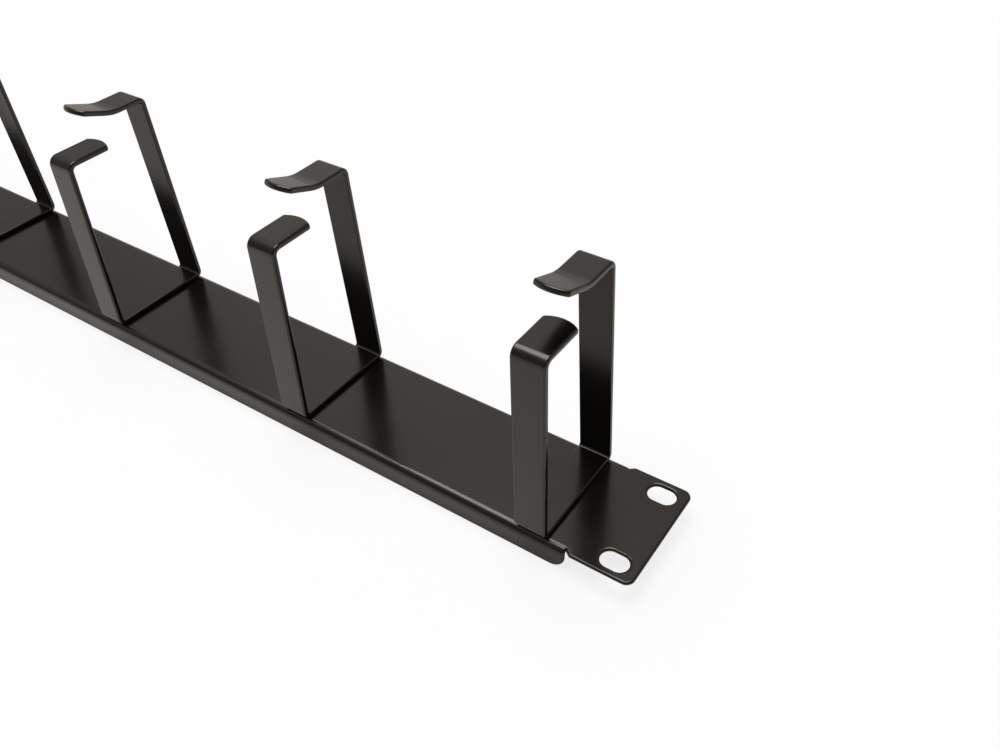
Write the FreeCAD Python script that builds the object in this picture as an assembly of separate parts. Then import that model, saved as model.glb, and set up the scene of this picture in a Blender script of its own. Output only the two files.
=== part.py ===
import FreeCAD, Part
import math
import os

# Rack cable management panel: a one-unit folded steel front panel that carries a
# row of bent flat-steel cable rings, all powder coated black.
# Millimetres. The panel lies on its back: +X along its length, +Y across it,
# +Z out of its front. The origin is under the middle, on the plane that the
# flange edges stand on.

# Panel sheet
panel_length = 482.6
panel_height = 43.8
sheet_thickness = 1.2
flange_depth = 9.2
fold_inner_radius = 1.6
flange_corner_radius = 5.5

# Ears, the flat ends that lie against the rack's posts. A relief notch beside each flange's
# end comes in from the panel's long edge and lets the fold run out.
ear_length = 23.8
ear_corner_radius = 3.2
relief_depth = 1.5
relief_step_angle = 37.0

# Rack slots, at the spacing of one rack unit. Each is centred one margin in from the panel's end.
slot_end_margin = 8.75
slot_spacing_y = 31.75
slot_length = 10.0
slot_width = 6.8

# Cable rings, each one bent from one flat steel strip. The end rings are centred one inset
# in from the flanges' ends, the others are evenly spaced between them, and the arms' outer
# faces stand one inset in from the panel's long edges.
ring_count = 5
end_ring_inset = 13.0
ring_edge_inset = 0.25
strip_width = 12.0
strip_thickness = 2.0
base_bend_inner_radius = 1.0
top_bend_inner_radius = 1.0

# The short arm is on the -Y side and the long arm on the +Y side. Heights are
# measured from the panel's front face to the top of the finger. A lean is the
# angle by which an arm tips in over the ring.
short_arm_height = 73.7
long_arm_height = 85.2
short_arm_lean = 1.2
long_arm_lean = 2.3

# Fingers. A reach is measured from the arm's outer face at the panel to the tip.
short_finger_reach = 21.0
long_finger_reach = 30.5
curl_start_reach = 15.0
curl_angle = 21.0
curl_radius = 15.0
tip_end_radius = 10.0
tip_corner_radius = 1.0

# How far a cutter runs past what it cuts, and how closely an edge's place is matched
cutter_overrun = 2.0
match = 1e-6

# Derived places
half_length = panel_length / 2
half_height = panel_height / 2
front_z = flange_depth
back_z = front_z - sheet_thickness
fold_outer_radius = fold_inner_radius + sheet_thickness
fold_line_y = half_height - fold_outer_radius
flange_end_x = half_length - ear_length
slot_x = half_length - slot_end_margin
slot_y = slot_spacing_y / 2
base_bend_radius = base_bend_inner_radius + strip_thickness
top_bend_radius = top_bend_inner_radius + strip_thickness
half_ring = half_height - ring_edge_inset
end_ring_x = flange_end_x - end_ring_inset
ring_pitch = 2 * end_ring_x / (ring_count - 1)


def radial(centre, radius, degrees):
    """A point of the YZ plane at an angle from +Y round a centre."""
    turn = math.radians(degrees)
    return centre + FreeCAD.Vector(0, radius * math.cos(turn), radius * math.sin(turn))


def arc(start, middle, end):
    """The edge of a circle through three points."""
    return Part.Arc(start, middle, end).toShape()


def face_of(edges):
    """The flat face inside a closed run of edges."""
    return Part.Face(Part.Wire(Part.__sortEdges__(edges)))


def face_outline():
    """The flat front seen from above: two ears, with a relief notch before each fold line."""
    notch_y = half_height - relief_depth
    step_x = flange_end_x + relief_depth / math.tan(math.radians(relief_step_angle))
    corner_start_x = half_length - ear_corner_radius
    corner_end_y = half_height - ear_corner_radius
    corner_inset = ear_corner_radius * (1 - math.sqrt(0.5))
    edges = []
    for side_x in (1, -1):
        for side_y in (1, -1):
            fold_point = FreeCAD.Vector(side_x * flange_end_x, side_y * fold_line_y, back_z)
            notch_point = FreeCAD.Vector(side_x * flange_end_x, side_y * notch_y, back_z)
            ear_point = FreeCAD.Vector(side_x * step_x, side_y * half_height, back_z)
            corner_start = FreeCAD.Vector(side_x * corner_start_x, side_y * half_height, back_z)
            corner_middle = FreeCAD.Vector(
                side_x * (half_length - corner_inset), side_y * (half_height - corner_inset), back_z)
            corner_end = FreeCAD.Vector(side_x * half_length, side_y * corner_end_y, back_z)
            edges.append(Part.makeLine(fold_point, notch_point))
            edges.append(Part.makeLine(notch_point, ear_point))
            edges.append(Part.makeLine(ear_point, corner_start))
            edges.append(arc(corner_start, corner_middle, corner_end))
    for side_x in (1, -1):
        edges.append(Part.makeLine(
            FreeCAD.Vector(side_x * half_length, corner_end_y, back_z),
            FreeCAD.Vector(side_x * half_length, -corner_end_y, back_z)))
    for side_y in (1, -1):
        edges.append(Part.makeLine(
            FreeCAD.Vector(flange_end_x, side_y * fold_line_y, back_z),
            FreeCAD.Vector(-flange_end_x, side_y * fold_line_y, back_z)))
    return face_of(edges)


def flange(side_y):
    """One folded long edge: a quarter bend and the flange below it, with rounded lower corners."""
    centre = FreeCAD.Vector(-flange_end_x, fold_line_y, front_z - fold_outer_radius)
    outer = [radial(centre, fold_outer_radius, turn) for turn in (90, 45, 0)]
    inner = [radial(centre, fold_inner_radius, turn) for turn in (90, 45, 0)]
    outer_foot = FreeCAD.Vector(-flange_end_x, half_height, 0)
    inner_foot = FreeCAD.Vector(-flange_end_x, half_height - sheet_thickness, 0)
    profile = face_of([
        arc(*outer),
        Part.makeLine(outer[2], outer_foot),
        Part.makeLine(outer_foot, inner_foot),
        Part.makeLine(inner_foot, inner[2]),
        arc(*inner),
        Part.makeLine(inner[0], outer[0]),
    ])
    solid = profile.extrude(FreeCAD.Vector(2 * flange_end_x, 0, 0))
    foot_corners = [
        edge for edge in solid.Edges
        if edge.BoundBox.XLength < match
        and abs(edge.BoundBox.ZMax) < match
        and abs(edge.BoundBox.YLength - sheet_thickness) < match
    ]
    solid = solid.makeFillet(flange_corner_radius, foot_corners)
    if side_y < 0:
        solid = solid.mirror(FreeCAD.Vector(0, 0, 0), FreeCAD.Vector(0, 1, 0))
    return solid


def slot(centre_x, centre_y):
    """A slot with round ends, as a cutter that passes right through the sheet."""
    radius = slot_width / 2
    half_run = slot_length / 2 - radius
    low_z = back_z - cutter_overrun
    height = sheet_thickness + 2 * cutter_overrun
    cutter = Part.makeBox(
        2 * half_run, slot_width, height, FreeCAD.Vector(centre_x - half_run, centre_y - radius, low_z))
    for side in (-1, 1):
        end = Part.makeCylinder(
            radius, height, FreeCAD.Vector(centre_x + side * half_run, centre_y, low_z))
        cutter = cutter.fuse(end)
    return cutter.removeSplitter()


def front_panel():
    """The folded sheet: front, two ears with two slots each, and two flanges."""
    sheet = face_outline().extrude(FreeCAD.Vector(0, 0, sheet_thickness))
    sheet = sheet.fuse([flange(1), flange(-1)])
    for side_x in (1, -1):
        for side_y in (1, -1):
            sheet = sheet.cut(slot(side_x * slot_x, side_y * slot_y))
    return sheet.removeSplitter()


def ring_corners():
    """Corners of the ring's outer faces before bending, from the short tip round to the long tip.

    Each entry is a point of the YZ plane and the radius of the outer face's bend there.
    """
    short_shift = short_arm_height * math.tan(math.radians(short_arm_lean))
    long_shift = long_arm_height * math.tan(math.radians(long_arm_lean))
    curl_y = half_ring - curl_start_reach - curl_radius * math.tan(math.radians(curl_angle / 2))
    tip_y = half_ring - long_finger_reach
    tip_rise = (curl_y - tip_y) * math.tan(math.radians(curl_angle))
    return [
        (-half_ring + short_finger_reach, short_arm_height, 0),
        (-half_ring + short_shift, short_arm_height, top_bend_radius),
        (-half_ring, 0, base_bend_radius),
        (half_ring, 0, base_bend_radius),
        (half_ring - long_shift, long_arm_height, top_bend_radius),
        (curl_y, long_arm_height, curl_radius),
        (tip_y, long_arm_height + tip_rise, 0),
    ]


def strip_face(corners, centre_x):
    """The strip's side face: the outer line, its bends, and the same line one thickness inside."""
    points = [FreeCAD.Vector(centre_x - strip_width / 2, y, front_z + z) for y, z, radius in corners]
    radii = [radius for y, z, radius in corners]
    edges = []
    outer_end = points[0]
    for index in range(1, len(points)):
        ahead = (points[index] - points[index - 1]).normalize()
        inward = FreeCAD.Vector(0, -ahead.z, ahead.y) * strip_thickness
        if index == 1:
            edges.append(Part.makeLine(outer_end, outer_end + inward))
        if index == len(points) - 1:
            edges.append(Part.makeLine(outer_end, points[index]))
            edges.append(Part.makeLine(outer_end + inward, points[index] + inward))
            edges.append(Part.makeLine(points[index], points[index] + inward))
            break
        beyond = (points[index + 1] - points[index]).normalize()
        beyond_inward = FreeCAD.Vector(0, -beyond.z, beyond.y) * strip_thickness
        turn = math.atan2(ahead.y * beyond.z - ahead.z * beyond.y, ahead.dot(beyond))
        side = math.copysign(1, turn)
        setback = radii[index] * math.tan(abs(turn) / 2)
        bend_start = points[index] - ahead * setback
        bend_end = points[index] + beyond * setback
        centre = bend_start + inward * (side * radii[index] / strip_thickness)
        to_middle = (points[index] - centre).normalize()
        inner_radius = radii[index] - side * strip_thickness
        edges.append(Part.makeLine(outer_end, bend_start))
        edges.append(Part.makeLine(outer_end + inward, bend_start + inward))
        edges.append(arc(bend_start, centre + to_middle * radii[index], bend_end))
        edges.append(arc(
            bend_start + inward, centre + to_middle * inner_radius, bend_end + beyond_inward))
        outer_end = bend_end
    return face_of(edges)


def tip_cutter(tip, before, centre_x):
    """What is cut off a finger's square end to leave a convex end with rounded corners.

    It is drawn flat, for a strip that runs towards +X and ends at the origin, and is then
    turned and moved to the finger.
    """
    half_width = strip_width / 2
    low_z = -strip_thickness - cutter_overrun
    height = -2 * low_z
    corner_x = math.sqrt(tip_end_radius ** 2 - half_width ** 2) - tip_end_radius
    back_x = corner_x - tip_corner_radius - cutter_overrun
    back = [FreeCAD.Vector(back_x, side * half_width, low_z) for side in (-1, 1)]
    corners = [FreeCAD.Vector(corner_x, side * half_width, low_z) for side in (-1, 1)]
    finger = face_of([
        Part.makeLine(back[0], corners[0]),
        arc(corners[0], FreeCAD.Vector(0, 0, low_z), corners[1]),
        Part.makeLine(corners[1], back[1]),
        Part.makeLine(back[1], back[0]),
    ]).extrude(FreeCAD.Vector(0, 0, height))
    sharp_edges = [
        edge for edge in finger.Edges
        if abs(edge.BoundBox.ZLength - height) < match
        and abs(edge.BoundBox.XMin - corner_x) < match
    ]
    finger = finger.makeFillet(tip_corner_radius, sharp_edges)
    block = Part.makeBox(
        cutter_overrun - back_x, strip_width + 2 * cutter_overrun, height,
        FreeCAD.Vector(back_x, -half_width - cutter_overrun, low_z))
    cutter = block.cut(finger)
    across_strip = FreeCAD.Rotation(FreeCAD.Vector(0, 0, 1), 90)
    along_finger = FreeCAD.Rotation(FreeCAD.Vector(0, 1, 0), (tip - before).normalize())
    place = FreeCAD.Vector(centre_x, tip.y, tip.z)
    cutter.Placement = FreeCAD.Placement(place, along_finger.multiply(across_strip))
    return cutter


def cable_ring(centre_x):
    """One ring: its web lies on the panel, two arms stand up and their fingers reach past each other."""
    corners = ring_corners()
    ring = strip_face(corners, centre_x).extrude(FreeCAD.Vector(strip_width, 0, 0))
    spots = [FreeCAD.Vector(centre_x, y, front_z + z) for y, z, radius in corners]
    ring = ring.cut(tip_cutter(spots[0], spots[1], centre_x))
    ring = ring.cut(tip_cutter(spots[-1], spots[-2], centre_x))
    return ring.removeSplitter()


def write(name, shape):
    """Save a piece as its own STEP file and print what it measures."""
    solid = shape.Solids[0]
    box = solid.BoundBox
    print("%s: %d solid, %.1f mm3, x %.2f..%.2f y %.2f..%.2f z %.2f..%.2f" % (
        name, len(shape.Solids), solid.Volume,
        box.XMin, box.XMax, box.YMin, box.YMax, box.ZMin, box.ZMax))
    solid.exportStep("parts/%s.step" % name)


def main():
    os.makedirs("parts", exist_ok=True)
    write("front_panel", front_panel())
    for index in range(ring_count):
        centre_x = -end_ring_x + index * ring_pitch
        write("cable_ring_%d" % (index + 1), cable_ring(centre_x))


main()
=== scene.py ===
# %% [markdown]
# # Rack cable management panel
#
# The real object is a folded steel panel, one rack unit high, with a row of flat steel rings
# standing across its front. Cables are pushed in between a ring's two fingers and lie inside.
# Everything is coated with the same semi-matt black powder.
#
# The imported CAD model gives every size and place. This script stands a finished piece in the
# place of each CAD solid: the same panel and rings, with the rounded, coated rims that catch
# the light on real sheet metal.

import math

import bmesh
import bpy
from mathutils import Matrix, Vector


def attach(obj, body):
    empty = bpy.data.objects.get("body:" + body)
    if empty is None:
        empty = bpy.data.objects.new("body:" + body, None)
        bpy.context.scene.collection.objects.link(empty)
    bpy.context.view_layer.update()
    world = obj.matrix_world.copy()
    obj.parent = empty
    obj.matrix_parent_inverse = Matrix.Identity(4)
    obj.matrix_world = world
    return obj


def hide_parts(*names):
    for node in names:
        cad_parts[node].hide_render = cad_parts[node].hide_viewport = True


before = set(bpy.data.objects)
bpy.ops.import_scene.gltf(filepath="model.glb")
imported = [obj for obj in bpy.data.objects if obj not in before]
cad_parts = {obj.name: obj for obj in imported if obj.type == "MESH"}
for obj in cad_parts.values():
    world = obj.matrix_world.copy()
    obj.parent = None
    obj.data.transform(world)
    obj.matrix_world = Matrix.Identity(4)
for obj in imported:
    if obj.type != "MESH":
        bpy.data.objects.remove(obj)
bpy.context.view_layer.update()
print("CAD nodes:", ", ".join(sorted(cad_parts)))

# %% [markdown]
# ## Sizes
#
# They repeat the values of the CAD source, in metres. A ring is described as a sheet-metal
# worker describes it: where the outer faces would meet if every bend were sharp, and how
# tightly each corner is bent. One value differs from the CAD source: the short arm's top bend
# is 3.7 mm instead of 3.0 mm, because the light lies higher on the photographed bend than a
# tight one would show it.

# %% Sizes of the panel
MM = 0.001
panel_length = 482.6 * MM
panel_height = 43.8 * MM
sheet_thickness = 1.2 * MM
flange_depth = 9.2 * MM
fold_inner_radius = 1.6 * MM
flange_corner_radius = 5.5 * MM
ear_length = 23.8 * MM
ear_corner_radius = 3.2 * MM
relief_depth = 1.5 * MM
relief_step_angle = math.radians(37.0)
slot_end_margin = 8.75 * MM
slot_spacing_y = 31.75 * MM
slot_length = 10.0 * MM
slot_width = 6.8 * MM

half_length = panel_length / 2
half_height = panel_height / 2
front_z = flange_depth
back_z = front_z - sheet_thickness
fold_outer_radius = fold_inner_radius + sheet_thickness
fold_line_y = half_height - fold_outer_radius
flange_end_x = half_length - ear_length
step_x = flange_end_x + relief_depth / math.tan(relief_step_angle)
print("panel: %.1f x %.1f mm, folded at y = %.1f mm" % (
    panel_length / MM, panel_height / MM, fold_line_y / MM))

# %% [markdown]
# The end rings are centred one inset in from the flanges' ends, and the others stand evenly
# between them. Reaches are measured inwards from an arm's foot, heights from the panel's front.

# %% Sizes of the rings
ring_count = 5
end_ring_inset = 13.0 * MM
ring_edge_inset = 0.25 * MM
strip_width = 12.0 * MM
strip_thickness = 2.0 * MM
base_bend_radius = 3.0 * MM
short_top_bend_radius = 3.7 * MM
long_top_bend_radius = 3.0 * MM
short_arm_height = 73.7 * MM
long_arm_height = 85.2 * MM
short_arm_lean = math.radians(1.2)
long_arm_lean = math.radians(2.3)
short_finger_reach = 21.0 * MM
long_finger_reach = 30.5 * MM
curl_start_reach = 15.0 * MM
curl_angle = math.radians(21.0)
curl_radius = 15.0 * MM
tip_end_radius = 10.0 * MM
tip_corner_radius = 1.0 * MM

half_ring = half_height - ring_edge_inset
end_ring_x = flange_end_x - end_ring_inset
ring_pitch = 2 * end_ring_x / (ring_count - 1)
print("rings: %d, %.1f mm apart" % (ring_count, ring_pitch / MM))

# %% [markdown]
# ## Working sheet metal in mesh code
#
# A bent bracket could be modelled by sweeping a rectangle along a path, but then its ends,
# holes and rims are awkward. A real workshop does it the other way round: it punches a flat
# blank, breaks its sharp rims and bends it last. The helpers below follow that order. A blank
# is one flat face, `thicken` gives it its gauge and rounds its rims while it is still flat and
# easy to measure, and `bend` rolls it round a radius, a few degrees at a time.

# %% Thickness and rounded rims
TINY = 1e-6
SQUARE_CORNER = math.radians(80)
ROUND_PROFILE = 0.5
RIM_SEGMENTS = 4


def round_rim(bm, height, rim_radius):
    """Round the sharp rim at one height, and mark its faces for the coat."""
    rim_mark = bm.faces.layers.float.get("rim") or bm.faces.layers.float.new("rim")
    rim = [
        edge for edge in bm.edges
        if edge.calc_face_angle(0) > SQUARE_CORNER
        and all(abs(vert.co.z - height) < TINY for vert in edge.verts)
    ]
    rounded = bmesh.ops.bevel(
        bm, geom=rim, offset=rim_radius, offset_type="OFFSET", segments=RIM_SEGMENTS,
        profile=ROUND_PROFILE, affect="EDGES", material=-1)
    for face in rounded["faces"]:
        face[rim_mark] = 1.0
    print("  %d rim edges at z = %.1f mm rounded to %.2f mm" % (
        len(rim), height / MM, rim_radius / MM))


def thicken(bm, thickness, top_rim, bottom_rim):
    """Make a sheet of a flat blank at z = 0 and round its rims."""
    grown = bmesh.ops.extrude_face_region(bm, geom=bm.faces[:], use_keep_orig=True)
    top = [part for part in grown["geom"] if isinstance(part, bmesh.types.BMVert)]
    bmesh.ops.translate(bm, vec=(0, 0, thickness), verts=top)
    bmesh.ops.recalc_face_normals(bm, faces=bm.faces[:])
    round_rim(bm, thickness, top_rim)
    round_rim(bm, 0, bottom_rim)


# %% [markdown]
# A bend takes up some of the flat length: the arc along the middle of the sheet, which is
# neither stretched nor squeezed. `bend_lines` divides that arc into equal chords. The sheet
# turns at their ends, and by half as much at the first and the last, so that every line lies
# on the true arc and the sheet leaves the bend in the true direction.

# %% Bending
BEND_STEP = math.radians(7.5)
FEWEST_STEPS = 4


def bend_lines(start, turn, middle_radius):
    """Lines over one bend, from its start outwards: (distance along the blank, turn there)."""
    steps = max(FEWEST_STEPS, round(abs(turn) / BEND_STEP))
    step_turn = turn / steps
    chord = 2 * middle_radius * math.sin(abs(step_turn) / 2)
    lines = []
    for index in range(steps + 1):
        share = 0.5 if index in (0, steps) else 1.0
        lines.append((start + chord * index, share * step_turn))
    return lines


def cut_across(bm, co, no, faces=None):
    """Cut the whole mesh, or some of its faces, along a plane."""
    faces = bm.faces[:] if faces is None else faces
    edges = [edge for face in faces for edge in face.edges]
    verts = [vert for face in faces for vert in face.verts]
    each_once = list(dict.fromkeys([*faces, *edges, *verts]))
    bmesh.ops.bisect_plane(bm, geom=each_once, dist=TINY / 10, plane_co=co, plane_no=no)


def bend(bm, lines, side, middle_z, end_x=math.inf, run_out_x=math.inf):
    """Bend one side of a sheet up over its lines, the outermost first.

    What lies beyond a line turns by the line's angle, and the line itself by half of it, so
    the sheet keeps its thickness. Only what is within end_x of the middle moves, and the sheet
    beyond it runs out flat up to run_out_x.
    """
    for distance, _ in lines:
        inside = [face for face in bm.faces if abs(face.calc_center_median().x) < run_out_x]
        cut_across(bm, (0, side * distance, 0), (0, 1, 0), inside)
    along = {vert: side * vert.co.y for vert in bm.verts if abs(vert.co.x) < end_x + TINY}
    for distance, turn in reversed(lines):
        line_point = (0, side * distance, middle_z)
        beyond = [vert for vert, place in along.items() if place > distance + TINY]
        on_line = [vert for vert, place in along.items() if abs(place - distance) <= TINY]
        for verts, angle in ((beyond, side * turn), (on_line, side * turn / 2)):
            bmesh.ops.rotate(bm, cent=line_point, matrix=Matrix.Rotation(angle, 3, "X"), verts=verts)


# %% [markdown]
# A finished piece is shaded smooth, apart from its sharp corners. Weighted normals let the
# large flat faces decide how the light falls on them, and the narrow rims and bends take up
# the turn. That is what keeps a flat plate looking flat next to a rounded rim.

# %% Finishing a piece
SHARP = math.radians(40)


def finish_piece(name, bm):
    """Turn a bmesh into an object at the origin, with flat faces that look flat."""
    bmesh.ops.recalc_face_normals(bm, faces=bm.faces[:])
    for face in bm.faces:
        face.smooth = True
    for edge in bm.edges:
        edge.smooth = edge.calc_face_angle(0) < SHARP
    mesh = bpy.data.meshes.new(name)
    bm.to_mesh(mesh)
    bm.free()
    piece = bpy.data.objects.new(name, mesh)
    bpy.context.scene.collection.objects.link(piece)
    weighted = piece.modifiers.new("flat faces stay flat", "WEIGHTED_NORMAL")
    weighted.keep_sharp = True
    return piece


# %% [markdown]
# ## One cable ring
#
# A ring is one strip of flat steel. Its web lies on the panel, a short and a long arm stand
# up from it, and a finger at the top of each arm reaches over the other. The long finger curls
# up at its tip, so that a cable slides in under it.
#
# The blank's length follows from the corners. At each corner the straight runs stop one
# setback short of it, and the arc between them adds its own length.

# %% The ring's bends, from the middle of its web outwards
def side_of_ring(corners):
    """Bends of one side, and where its blank ends. A corner is (distance, height, outer radius)."""
    lines = []
    reach = 0.0
    setback_before = 0.0
    for before, corner, after in zip(corners, corners[1:], corners[2:]):
        come = Vector(corner[:2]) - Vector(before[:2])
        go = Vector(after[:2]) - Vector(corner[:2])
        turn = math.atan2(come.x * go.y - come.y * go.x, come.dot(go))
        setback = corner[2] * math.tan(abs(turn) / 2)
        middle_radius = corner[2] - math.copysign(strip_thickness / 2, turn)
        reach += come.length - setback_before - setback
        bend_here = bend_lines(reach, turn, middle_radius)
        lines.append(bend_here)
        reach = bend_here[-1][0]
        setback_before = setback
    return lines, reach + go.length - setback_before


short_shift = short_arm_height * math.tan(short_arm_lean)
long_shift = long_arm_height * math.tan(long_arm_lean)
curl_corner = half_ring - curl_start_reach - curl_radius * math.tan(curl_angle / 2)
long_tip = half_ring - long_finger_reach
short_lines, short_end = side_of_ring([
    (0, 0, 0),
    (half_ring, 0, base_bend_radius),
    (half_ring - short_shift, short_arm_height, short_top_bend_radius),
    (half_ring - short_finger_reach, short_arm_height, 0),
])
long_lines, long_end = side_of_ring([
    (0, 0, 0),
    (half_ring, 0, base_bend_radius),
    (half_ring - long_shift, long_arm_height, long_top_bend_radius),
    (curl_corner, long_arm_height, curl_radius),
    (long_tip, long_arm_height + (curl_corner - long_tip) * math.tan(curl_angle), 0),
])
print("a ring's blank is %.1f mm long" % ((short_end + long_end) / MM))

# %% [markdown]
# The blank is a rectangle with convex ends. Its end edges are divided and drawn back onto an
# arc, and the corners are rounded as a punch leaves them. While the blank is still one flat
# face on each side, its inner side gets the shaded coat, painted shade for the inside of the
# ring, and the web's share of it gets the outer coat back after the bends.

# %% The ring's flat blank
END_CUTS = 15
TIP_CORNER_SEGMENTS = 4
OUTER_RIM = 0.8 * MM
INNER_RIM = 0.5 * MM
OUTER_COAT, INSIDE_SHADE_COAT = 0, 1


def rectangle(bm, low, high):
    """One flat face at z = 0."""
    corners = [(low[0], low[1]), (high[0], low[1]), (high[0], high[1]), (low[0], high[1])]
    return bm.faces.new([bm.verts.new((x, y, 0)) for x, y in corners])


def round_corners(bm, verts, offset, segments):
    """Round corners of a flat face."""
    return bmesh.ops.bevel(
        bm, geom=verts, offset=offset, offset_type="OFFSET", segments=segments,
        profile=ROUND_PROFILE, affect="VERTICES", material=-1)


def face_at(bm, point):
    """The face whose middle is nearest to a point."""
    return min(bm.faces, key=lambda face: (face.calc_center_median() - point).length)


def ring_blank(bm):
    rectangle(bm, (-strip_width / 2, -short_end), (strip_width / 2, long_end))
    ends = [edge for edge in bm.edges if abs(edge.verts[0].co.y - edge.verts[1].co.y) < TINY]
    bmesh.ops.bisect_edges(bm, edges=ends, cuts=END_CUTS)
    for vert in bm.verts:
        drawn_back = tip_end_radius - math.sqrt(tip_end_radius ** 2 - vert.co.x ** 2)
        vert.co.y -= math.copysign(drawn_back, vert.co.y)
    corners = [vert for vert in bm.verts if abs(abs(vert.co.x) - strip_width / 2) < TINY]
    corner_turn = math.pi / 2 - math.asin(strip_width / 2 / tip_end_radius)
    corner_offset = tip_corner_radius * math.tan(corner_turn / 2)
    round_corners(bm, corners, corner_offset, TIP_CORNER_SEGMENTS)


def cable_ring(name, centre_x):
    """Blank, rounded rims and bends. The web stays where it is and the arms come up."""
    bm = bmesh.new()
    ring_blank(bm)
    thicken(bm, strip_thickness, INNER_RIM, OUTER_RIM)
    web_middle = Vector((0, 0, strip_thickness))
    # Painted shade: the inner faces take the copy of the coat that mirrors less, so they look darker.
    face_at(bm, web_middle).material_index = INSIDE_SHADE_COAT
    for lines, side in ((short_lines, -1), (long_lines, 1)):
        every_line = [line for bend_here in lines for line in bend_here]
        bend(bm, every_line, side, strip_thickness / 2)
    face_at(bm, web_middle).material_index = OUTER_COAT
    bmesh.ops.translate(bm, vec=(centre_x, 0, front_z), verts=bm.verts[:])
    return finish_piece(name, bm)


# %% [markdown]
# All five rings are alike, bend for bend. Only their places along the panel differ.

# %% Make the rings
rings = []
for index in range(ring_count):
    ring = cable_ring("coated_ring_%d" % (index + 1), -end_ring_x + index * ring_pitch)
    rings.append(ring)
print("one ring: %.1f x %.1f x %.1f mm, %d faces" % (
    *(size / MM for size in rings[0].dimensions), len(rings[0].data.polygons)))

# %% [markdown]
# ## The folded panel
#
# The panel is a flat front with two ears that lie against the rack's posts. Its long edges
# are folded back as flanges, which keep the thin sheet stiff. A small notch between each ear
# and its flange lets the bend run out freely.
#
# Only a quarter of the blank is drawn, and mirrored twice. Its slot is a small washer of faces,
# and a triangle fill joins the washer to a cell of the ear.

# %% A slot in the ear
SLOT_BORDER = 0.8 * MM
CELL_MARGIN = 1.7 * MM
ARC_SEGMENTS = 10
slot_x = half_length - slot_end_margin
slot_y = slot_spacing_y / 2
slot_centre = Vector((slot_x, slot_y, 0))


def slot_washer(bm):
    """A border of faces round the slot. Returns the edges of its outside."""
    half_x = slot_length / 2 + SLOT_BORDER
    half_y = slot_width / 2 + SLOT_BORDER
    washer = rectangle(bm, (slot_x - half_x, slot_y - half_y), (slot_x + half_x, slot_y + half_y))
    round_corners(bm, washer.verts[:], half_y, ARC_SEGMENTS)
    bmesh.ops.remove_doubles(bm, verts=face_at(bm, slot_centre).verts[:], dist=TINY)
    bm.normal_update()
    border = bmesh.ops.inset_individual(
        bm, faces=[face_at(bm, slot_centre)], thickness=SLOT_BORDER, use_even_offset=True)["faces"]
    outside = [edge for face in border for edge in face.edges if edge.is_boundary]
    bmesh.ops.delete(bm, geom=[face_at(bm, slot_centre)], context="FACES_ONLY")
    return outside


def punch_slot(bm):
    """Cut a cell out of the ear round the slot and join the washer to it."""
    low = Vector((slot_x - slot_length / 2 - CELL_MARGIN, slot_y - slot_width / 2 - CELL_MARGIN))
    high = Vector((slot_x + slot_length / 2 + CELL_MARGIN, slot_y + slot_width / 2 + CELL_MARGIN))
    cut_across(bm, (low.x, 0, 0), (1, 0, 0))
    ear = [face for face in bm.faces if face.calc_center_median().x > low.x]
    cut_across(bm, (0, low.y, 0), (0, 1, 0), ear)
    ear = [face for face in bm.faces if face.calc_center_median().x > low.x]
    cut_across(bm, (0, high.y, 0), (0, 1, 0), ear)
    middle = [
        face for face in bm.faces
        if face.calc_center_median().x > low.x and low.y < face.calc_center_median().y < high.y
    ]
    cut_across(bm, (high.x, 0, 0), (1, 0, 0), middle)
    cell = face_at(bm, slot_centre)
    cell_edges = cell.edges[:]
    bmesh.ops.delete(bm, geom=[cell], context="FACES_ONLY")
    bmesh.ops.triangle_fill(bm, edges=cell_edges + slot_washer(bm), use_beauty=True)


# %% [markdown]
# Each flange ends beside a relief notch, a small step in the blank's outline. Two cuts across
# the blank mark the flange's end and the foot of the step, so that the ear beyond them stays
# flat while the flange bends.

# %% The panel's flat blank
FRONT_RIM = 0.75 * MM
BACK_RIM = 0.3 * MM
fold_lines = bend_lines(fold_line_y, -math.pi / 2, fold_inner_radius + sheet_thickness / 2)
flange_run = flange_depth - fold_outer_radius
blank_y = fold_lines[-1][0] + flange_run


def panel_blank(bm):
    """A quarter of the outline, with its corners rounded and its slot cut, then mirrored."""
    quarter = [
        (0, 0), (half_length, 0), (half_length, half_height), (step_x, half_height),
        (flange_end_x, half_height - relief_depth), (flange_end_x, blank_y), (0, blank_y),
    ]
    verts = [bm.verts.new((x, y, 0)) for x, y in quarter]
    bm.faces.new(verts)
    ear_corner, flange_corner = verts[2], verts[5]
    round_corners(bm, [ear_corner], ear_corner_radius, ARC_SEGMENTS)
    round_corners(bm, [flange_corner], flange_corner_radius, ARC_SEGMENTS)
    punch_slot(bm)
    for run_out in (flange_end_x, step_x):
        cut_across(bm, (run_out, 0, 0), (1, 0, 0))
    for axis in ("X", "Y"):
        whole = bm.verts[:] + bm.edges[:] + bm.faces[:]
        bmesh.ops.mirror(bm, geom=whole, merge_dist=TINY, axis=axis)
    bmesh.ops.recalc_face_normals(bm, faces=bm.faces[:])


# %% [markdown]
# The rims are rounded while the blank is flat. Folding back the two flanges comes last.

# %% Make the panel
panel_bm = bmesh.new()
panel_blank(panel_bm)
print("panel blank: %.1f x %.1f mm" % (panel_length / MM, 2 * blank_y / MM))
thicken(panel_bm, sheet_thickness, FRONT_RIM, BACK_RIM)
for side in (-1, 1):
    bend(panel_bm, fold_lines, side, sheet_thickness / 2, flange_end_x, step_x)
bmesh.ops.translate(panel_bm, vec=(0, 0, back_z), verts=panel_bm.verts[:])
panel = finish_piece("coated_panel", panel_bm)
print("panel: %.1f x %.1f x %.1f mm, %d faces" % (
    *(size / MM for size in panel.dimensions), len(panel.data.polygons)))

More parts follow.
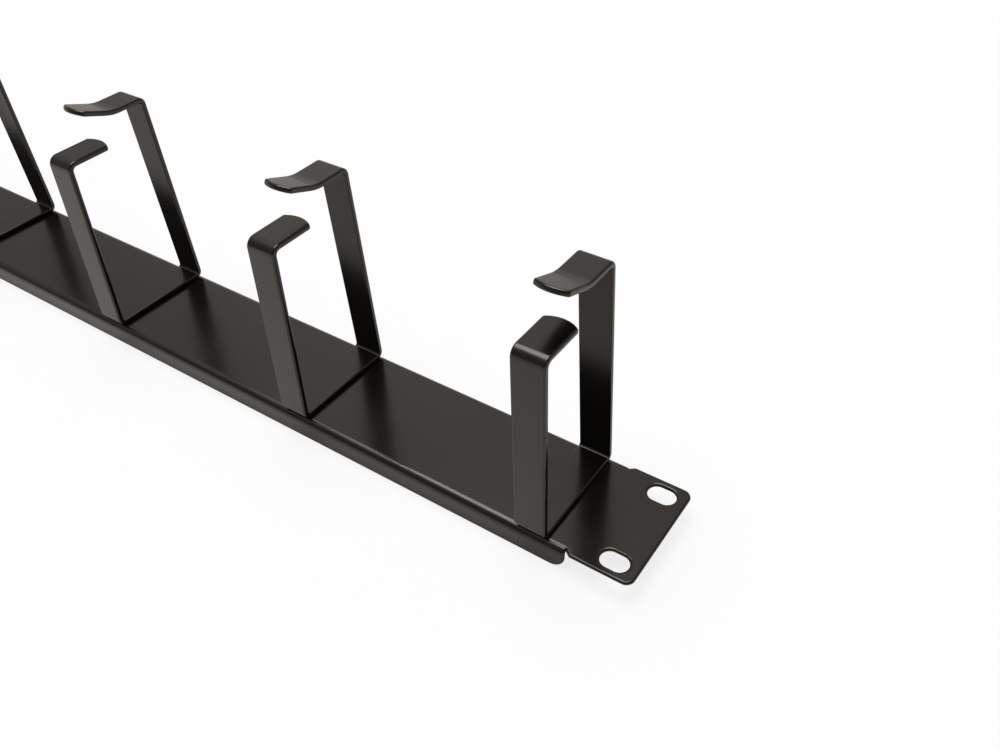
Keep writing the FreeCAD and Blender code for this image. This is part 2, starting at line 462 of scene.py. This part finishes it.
# %% [markdown]
# ## The powder coat
#
# Powder coating is a plastic skin of about a tenth of a millimetre, baked onto the steel. Up
# close it is never mirror smooth: it has a fine orange peel, its gloss drifts a little from
# place to place, and it draws thin and slightly glossier over the rims. One node group holds
# these three effects and the three coats use it with their own values. It reads Object
# coordinates, so the grain keeps its real size on every piece.

# %% The coat's node group
WAVES_PER_METRE = 260.0
DRIFTS_PER_METRE = 32.0
PIGMENT_PER_METRE = 900.0
PIGMENT_SHARE = 0.6
PEEL_HEIGHT_SHARE = 0.5


def powder_coat_group():
    """Outputs a colour, a roughness and a height. Its inputs are plain values in metres."""
    group = bpy.data.node_groups.new("powder_coat", "ShaderNodeTree")
    face = group.interface
    face.new_socket("Place", in_out="INPUT", socket_type="NodeSocketVector")
    face.new_socket("Rim", in_out="INPUT", socket_type="NodeSocketFloat")
    for name, default in (
            ("Dark", (0.004, 0.004, 0.004, 1)), ("Light", (0.008, 0.008, 0.008, 1))):
        face.new_socket(name, in_out="INPUT", socket_type="NodeSocketColor").default_value = default
    for name, default in (
            ("Roughness", 0.3), ("Roughness drift", 0.06), ("Rim gloss", 0.05), ("Peel size", 0.0006)):
        face.new_socket(name, in_out="INPUT", socket_type="NodeSocketFloat").default_value = default
    face.new_socket("Color", in_out="OUTPUT", socket_type="NodeSocketColor")
    face.new_socket("Roughness", in_out="OUTPUT", socket_type="NodeSocketFloat")
    face.new_socket("Height", in_out="OUTPUT", socket_type="NodeSocketFloat")
    nodes, links = group.nodes, group.links
    given = nodes.new("NodeGroupInput")
    result = nodes.new("NodeGroupOutput")

    def noise(scale, detail, scale_from=None):
        node = nodes.new("ShaderNodeTexNoise")
        node.inputs["Scale"].default_value = scale
        node.inputs["Detail"].default_value = detail
        links.new(given.outputs["Place"], node.inputs["Vector"])
        if scale_from is not None:
            links.new(scale_from, node.inputs["Scale"])
        return node.outputs["Fac"]

    def math_node(operation, first, second):
        node = nodes.new("ShaderNodeMath")
        node.operation = operation
        for value, socket in zip((first, second), node.inputs):
            if isinstance(value, float):
                socket.default_value = value
            else:
                links.new(value, socket)
        return node.outputs[0]

    peel = noise(1.0, 2.0, math_node("DIVIDE", 1.0, given.outputs["Peel size"]))
    waves = noise(WAVES_PER_METRE, 1.0)
    drift = noise(DRIFTS_PER_METRE, 3.0)
    pigment = noise(PIGMENT_PER_METRE, 4.0)

    mix = nodes.new("ShaderNodeMix")
    mix.data_type = "RGBA"
    pigment_part = math_node("MULTIPLY", pigment, PIGMENT_SHARE)
    drift_part = math_node("MULTIPLY", drift, 1.0 - PIGMENT_SHARE)
    links.new(math_node("ADD", pigment_part, drift_part), mix.inputs["Factor"])
    links.new(given.outputs["Dark"], mix.inputs["A"])
    links.new(given.outputs["Light"], mix.inputs["B"])
    links.new(mix.outputs["Result"], result.inputs["Color"])

    centred = math_node("SUBTRACT", drift, 0.5)
    spread = math_node("MULTIPLY", centred, given.outputs["Roughness drift"])
    rough = math_node("ADD", given.outputs["Roughness"], math_node("MULTIPLY", spread, 2.0))
    rim_gloss = math_node("MULTIPLY", given.outputs["Rim"], given.outputs["Rim gloss"])
    links.new(math_node("SUBTRACT", rough, rim_gloss), result.inputs["Roughness"])

    height = math_node("ADD", math_node("MULTIPLY", peel, PEEL_HEIGHT_SHARE), waves)
    links.new(height, result.inputs["Height"])
    return group


coat_group = powder_coat_group()
sockets = coat_group.interface.items_tree
print("node group:", coat_group.name, "puts out", [s.name for s in sockets if s.in_out == "OUTPUT"])

# %% [markdown]
# The material itself keeps the Principled shader and the Bump node. Black powder coat has
# almost no colour of its own, so what the eye sees is mostly the room, mirrored by a surface
# of about the refractive index of plastic. The inside of a ring's arms and fingers has a copy
# of the coat with a lower IOR that mirrors less: painted shade, darkening the reflections there.

# %% The coat's materials
COAT_DARK = (0.0010, 0.0009, 0.0008, 1)
COAT_LIGHT = (0.0030, 0.0027, 0.0024, 1)
COAT_ROUGHNESS = 0.20
WARM_REFLECTION = (1.0, 0.93, 0.87, 1)
BUMP_STRENGTH = 0.12
BUMP_HEIGHT = 0.05 * MM
PLAIN_COAT_IOR = 1.52
# The lower IOR of the inside coat is painted shade: it darkens the reflections inside the rings.
INSIDE_SHADE_IOR = 1.42


def powder_coat(name, peel_size, ior):
    """A semi-matt black coat."""
    material = bpy.data.materials.new(name)
    material.use_nodes = True
    nodes, links = material.node_tree.nodes, material.node_tree.links
    shader = nodes["Principled BSDF"]
    coat = nodes.new("ShaderNodeGroup")
    coat.node_tree = coat_group
    coat.inputs["Dark"].default_value = COAT_DARK
    coat.inputs["Light"].default_value = COAT_LIGHT
    coat.inputs["Roughness"].default_value = COAT_ROUGHNESS
    coat.inputs["Peel size"].default_value = peel_size
    place = nodes.new("ShaderNodeTexCoord")
    rim = nodes.new("ShaderNodeAttribute")
    rim.attribute_name = "rim"
    shader.inputs["IOR"].default_value = ior
    shader.inputs["Specular Tint"].default_value = WARM_REFLECTION
    bump = nodes.new("ShaderNodeBump")
    bump.inputs["Strength"].default_value = BUMP_STRENGTH
    bump.inputs["Distance"].default_value = BUMP_HEIGHT
    links.new(place.outputs["Object"], coat.inputs["Place"])
    links.new(rim.outputs["Fac"], coat.inputs["Rim"])
    links.new(coat.outputs["Color"], shader.inputs["Base Color"])
    links.new(coat.outputs["Roughness"], shader.inputs["Roughness"])
    links.new(coat.outputs["Height"], bump.inputs["Height"])
    links.new(bump.outputs["Normal"], shader.inputs["Normal"])
    return material


panel_coat = powder_coat("panel_coat", 0.7 * MM, PLAIN_COAT_IOR)
ring_coat = powder_coat("ring_coat", 0.6 * MM, PLAIN_COAT_IOR)
# A shaded copy of the ring coat, a little less shiny: painted shade for the inside of the rings.
inside_shade_coat = powder_coat("ring_inside_shade_coat", 0.6 * MM, INSIDE_SHADE_IOR)
print("coats:", ", ".join(coat.name for coat in (panel_coat, ring_coat, inside_shade_coat)))

# %% [markdown]
# Each finished piece takes the place of one CAD solid. All of them ride on the one rigid body,
# because nothing on this object moves.

# %% Put the pieces in the place of the CAD solids
panel.data.materials.append(panel_coat)
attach(panel, "root")
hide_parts("front_panel")
for index, ring in enumerate(rings):
    ring.data.materials.append(ring_coat)
    ring.data.materials.append(inside_shade_coat)
    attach(ring, "root")
    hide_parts("cable_ring_%d" % (index + 1))
print("dressed pieces:", [piece.name for piece in [panel, *rings]])

# %% [markdown]
# ## Floor, light and camera
#
# The photograph was taken on white under one big soft light, and its background is pure white
# with a faint shadow. The floor is a pale matt plane. Where the camera looks straight at it,
# Light Path swaps most of its colour for plain white, and the small share that is left still
# shows the object's shadow. The coat mirrors the floor as it is really lit, with its dark
# places under the panel.

# %% Floor
FLOOR_HALF = 4.0
FLOOR_COLOR = (0.93, 0.88, 0.83, 1)
SHADOW_SHARE = 0.18
floor_bm = bmesh.new()
rectangle(floor_bm, (-FLOOR_HALF, -FLOOR_HALF), (FLOOR_HALF, FLOOR_HALF))
floor_mesh = bpy.data.meshes.new("floor")
floor_bm.to_mesh(floor_mesh)
floor_bm.free()
floor = bpy.data.objects.new("floor", floor_mesh)
bpy.context.scene.collection.objects.link(floor)

floor_material = bpy.data.materials.new("white_floor")
floor_material.use_nodes = True
floor_nodes, floor_links = floor_material.node_tree.nodes, floor_material.node_tree.links
floor_shader = floor_nodes["Principled BSDF"]
floor_shader.inputs["Roughness"].default_value = 1.0
floor_shader.inputs["Specular IOR Level"].default_value = 0.0
floor_shader.inputs["Emission Color"].default_value = (1, 1, 1, 1)
floor_path = floor_nodes.new("ShaderNodeLightPath")
seen_floor = floor_nodes.new("ShaderNodeMix")
seen_floor.data_type = "RGBA"
seen_floor.inputs["A"].default_value = FLOOR_COLOR
seen_floor.inputs["B"].default_value = (SHADOW_SHARE, SHADOW_SHARE, SHADOW_SHARE, 1)
lift = floor_nodes.new("ShaderNodeMath")
lift.operation = "MULTIPLY"
lift.inputs[1].default_value = 1.0 - SHADOW_SHARE
floor_links.new(floor_path.outputs["Is Camera Ray"], seen_floor.inputs["Factor"])
floor_links.new(seen_floor.outputs["Result"], floor_shader.inputs["Base Color"])
floor_links.new(floor_path.outputs["Is Camera Ray"], lift.inputs[0])
floor_links.new(lift.outputs[0], floor_shader.inputs["Emission Strength"])
floor_mesh.materials.append(floor_material)

# %% [markdown]
# A black glossy thing shows little but the room it stands in, so the room matters more here
# than the colour. Two soft fades make the room. The wall behind the panel is bright, and from
# there the room fades to dark behind the camera. The ceiling glows round the softbox. A dot
# product with one direction gives each fade, and a colour ramp turns it into brightness. Both
# are for reflections only: the camera sees plain white, and what falls on the floor is even.

# %% World
ROOM_LIGHT = 0.30
SOFTBOX_DIRECTION = Vector((-0.22, 0.06, 1.0)).normalized()
WALL_DIRECTION = Vector((-0.50, 0.74, 0.45)).normalized()
ROOM_TINT = (1.0, 0.95, 0.90)
ROOM_FADE = (
    (0.0, 0.27), (0.30, 0.38), (0.64, 0.42), (0.88, 0.42),
    (0.915, 0.46), (0.932, 0.56), (0.962, 0.74), (1.0, 0.69),
)
GLOW_FADE = ((0.57, 0.0), (0.74, 0.11), (0.83, 0.25), (0.883, 0.50), (0.94, 0.9))
world = bpy.data.worlds.new("studio_room")
bpy.context.scene.world = world
world.use_nodes = True
world_nodes, world_links = world.node_tree.nodes, world.node_tree.links
background = world_nodes["Background"]
direction = world_nodes.new("ShaderNodeTexCoord")


def fade_from(centre, fade):
    """A colour that fades with the angle from one direction."""
    towards = world_nodes.new("ShaderNodeVectorMath")
    towards.operation = "DOT_PRODUCT"
    towards.inputs[1].default_value = centre
    ramp = world_nodes.new("ShaderNodeValToRGB")
    stops = ramp.color_ramp.elements
    for index, (place, brightness) in enumerate(fade):
        stop = stops[index] if index < len(stops) else stops.new(place)
        stop.position = place
        stop.color = (*(brightness * share for share in ROOM_TINT), 1)
    world_links.new(direction.outputs["Generated"], towards.inputs[0])
    world_links.new(towards.outputs["Value"], ramp.inputs["Fac"])
    return ramp.outputs["Color"]


room = world_nodes.new("ShaderNodeMix")
room.data_type = "RGBA"
room.blend_type = "ADD"
room.inputs["Factor"].default_value = 1.0
world_links.new(fade_from(WALL_DIRECTION, ROOM_FADE), room.inputs["A"])
world_links.new(fade_from(SOFTBOX_DIRECTION, GLOW_FADE), room.inputs["B"])
world_path = world_nodes.new("ShaderNodeLightPath")
seen = world_nodes.new("ShaderNodeMix")
seen.data_type = "RGBA"
seen.inputs["A"].default_value = (ROOM_LIGHT, ROOM_LIGHT, ROOM_LIGHT, 1)
straight = world_nodes.new("ShaderNodeMix")
straight.data_type = "RGBA"
straight.inputs["B"].default_value = (1, 1, 1, 1)
world_links.new(world_path.outputs["Is Glossy Ray"], seen.inputs["Factor"])
world_links.new(room.outputs["Result"], seen.inputs["B"])
world_links.new(world_path.outputs["Is Camera Ray"], straight.inputs["Factor"])
world_links.new(seen.outputs["Result"], straight.inputs["A"])
world_links.new(straight.outputs["Result"], background.inputs["Color"])

# %% [markdown]
# The one big light is a lamp 44 degrees across, as a large softbox looks from close by. The
# bends and rims of the steel turn past it, so it shows there as a soft bright band.

# %% Softbox
SOFTBOX_ANGLE = math.radians(44)
SOFTBOX_BRIGHTNESS = 4.7
softbox_light = bpy.data.lights.new("softbox", "SUN")
softbox_light.angle = SOFTBOX_ANGLE
softbox_light.energy = math.pi * SOFTBOX_BRIGHTNESS * math.sin(SOFTBOX_ANGLE / 2) ** 2
softbox = bpy.data.objects.new("softbox", softbox_light)
bpy.context.scene.collection.objects.link(softbox)
softbox.location = SOFTBOX_DIRECTION
softbox.rotation_euler = (-SOFTBOX_DIRECTION).to_track_quat("-Z", "Y").to_euler()

# %% [markdown]
# The camera's place, turn and lens were worked out from the straight edges and the two slots
# of the photographed panel, whose real sizes are known.

# %% Camera
CAMERA_PLACE = (317.01 * MM, -183.76 * MM, 251.79 * MM)
CAMERA_TURN = (51.034, 0.911, 33.084)
CAMERA_LENS = 34.637
camera_data = bpy.data.cameras.new("camera")
camera_data.lens = CAMERA_LENS
camera_data.shift_x = -0.0348
camera_data.shift_y = -0.0439
camera_data.clip_start = 0.01
camera = bpy.data.objects.new("camera", camera_data)
bpy.context.scene.collection.objects.link(camera)
camera.location = CAMERA_PLACE
camera.rotation_euler = [math.radians(angle) for angle in CAMERA_TURN]
bpy.context.scene.camera = camera
bpy.context.scene.view_settings.view_transform = "Standard"
